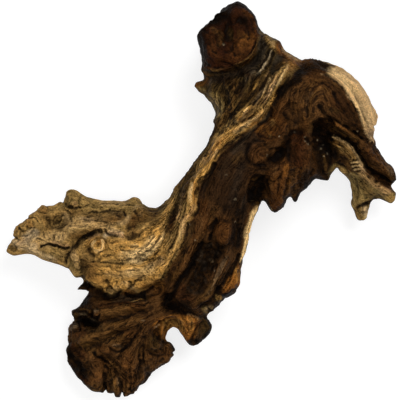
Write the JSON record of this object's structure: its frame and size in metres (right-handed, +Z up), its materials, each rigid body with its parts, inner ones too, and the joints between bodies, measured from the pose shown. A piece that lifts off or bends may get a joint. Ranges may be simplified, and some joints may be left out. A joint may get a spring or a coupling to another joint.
{
  "type": "mopani root",
  "caption": "Gnarled, weathered root with a cut stub, a hooked arm and spreading lower limbs, lying on its low spots; decor wood for a tank, terrarium or perch.",
  "frame": {"origin": "middle of the root's outline seen from above, on the surface it rests on", "axes": "+Z up from the surface; +X towards the hooked arm, away from the pale left limb; +Y towards the cut stub"},
  "size_m": [0.2982, 0.3006, 0.0816],
  "materials": {
    "mopani_wood": "weathered two-tone wood, pale bare wood and dark bark, satin"
  },
  "bodies": {
    "root": {"mopani_root": "mopani_wood"}
  },
  "joints": []
}
